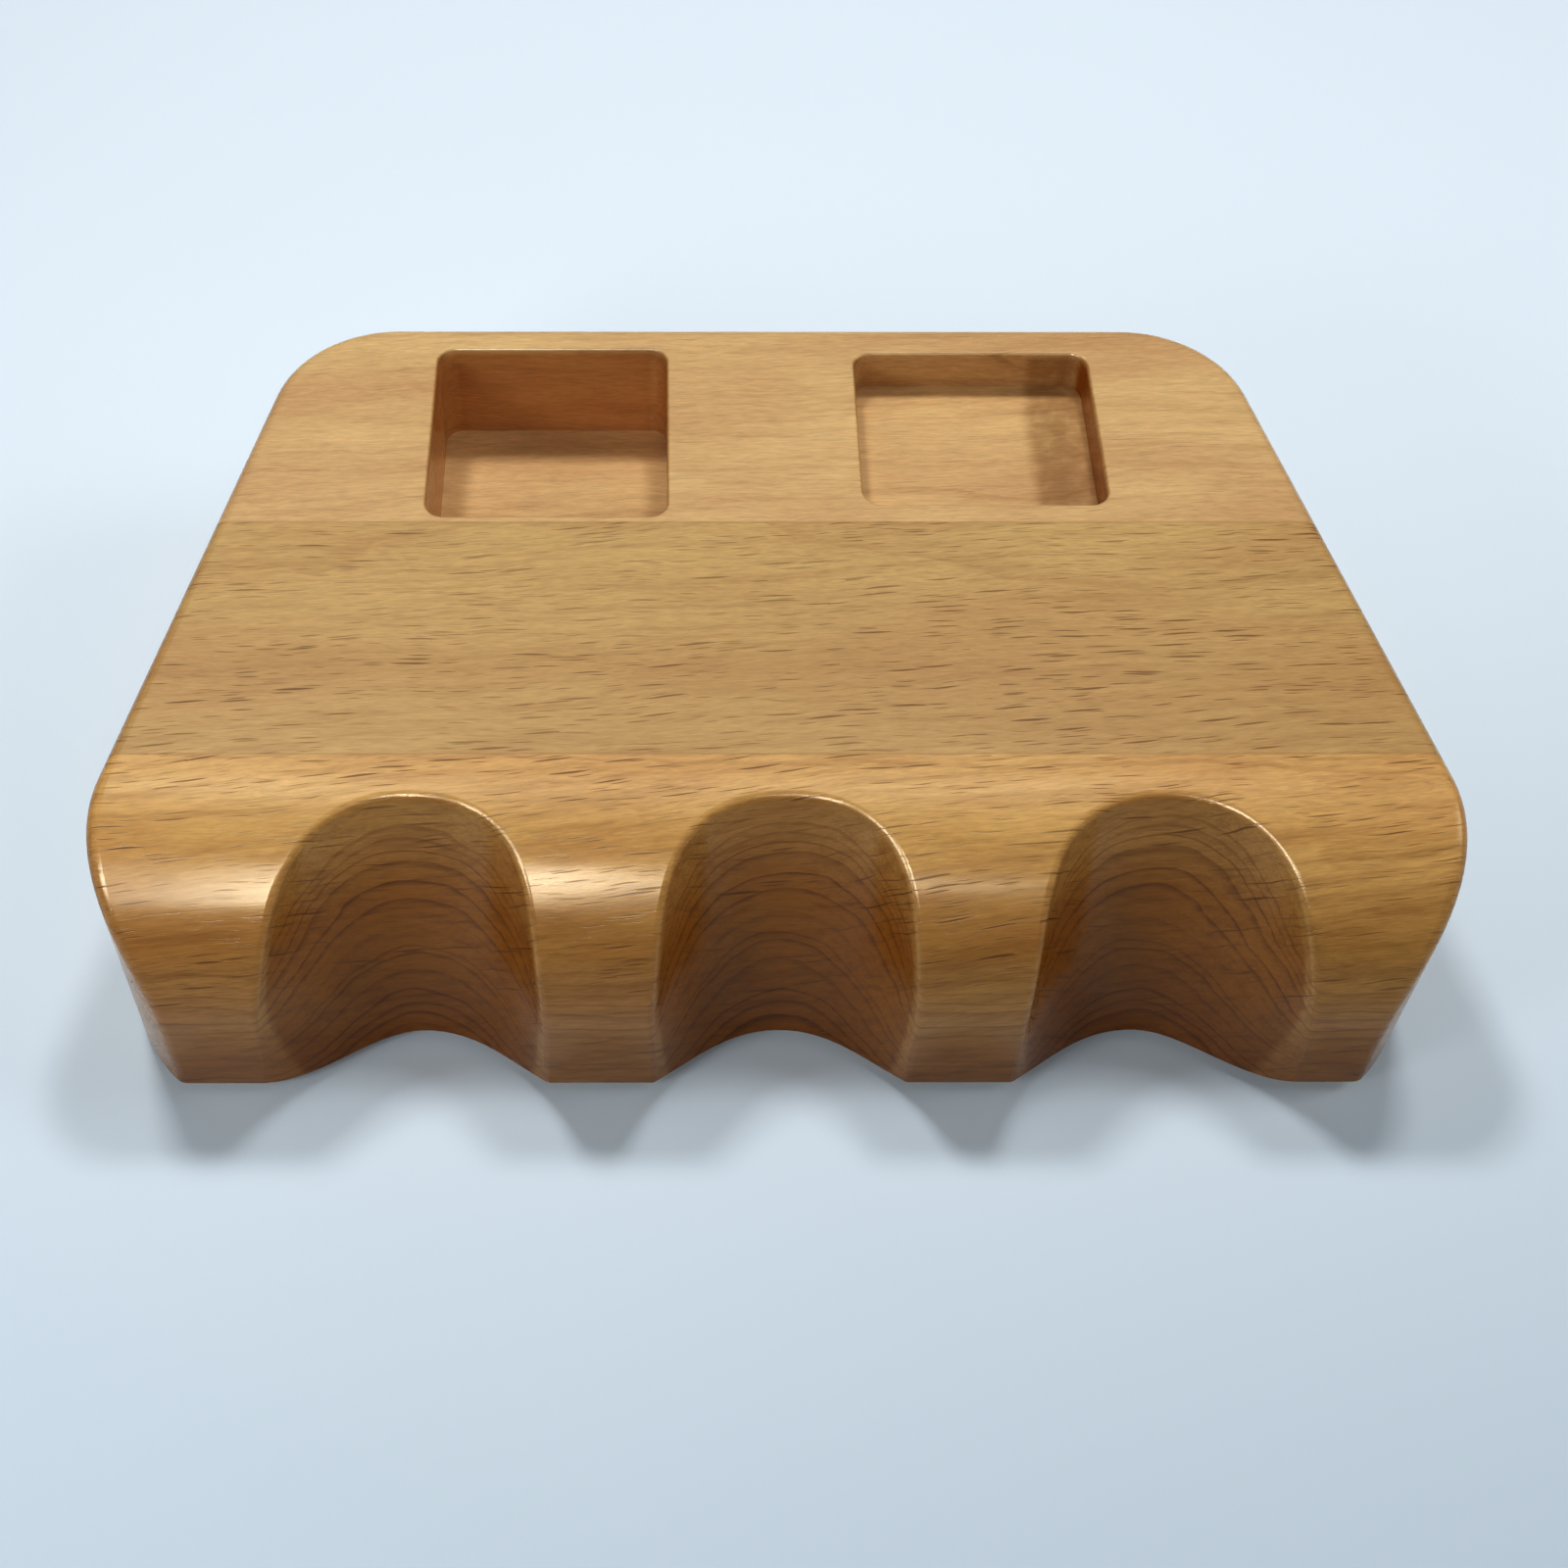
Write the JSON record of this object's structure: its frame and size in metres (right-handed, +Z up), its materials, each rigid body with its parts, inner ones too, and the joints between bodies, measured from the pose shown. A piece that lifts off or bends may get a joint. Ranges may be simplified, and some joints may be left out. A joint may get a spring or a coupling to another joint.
{
  "type": "billiard cue rest",
  "caption": "Free-standing wooden cue rest with scallops in its front edge for leaning cues and square chalk pockets in its top, weighted, on a non-slip pad.",
  "frame": {"origin": "centre of the block's plan on the table, under the base pad", "axes": "+Z up, -Y towards the cue scallops at the front, +X to the right seen from the front"},
  "size_m": [0.1292, 0.0794, 0.0295],
  "materials": {
    "front_beech": "satin oiled beech",
    "middle_beech": "satin oiled beech",
    "rear_beech": "satin oiled beech",
    "ballast_steel": "cold-drawn bar, as cut",
    "pad_rubber": "matte fine-textured sheet"
  },
  "bodies": {
    "root": {"front_stave": "front_beech", "middle_stave": "middle_beech", "rear_stave": "rear_beech", "ballast_bar": "ballast_steel", "base_pad": "pad_rubber"}
  },
  "joints": []
}
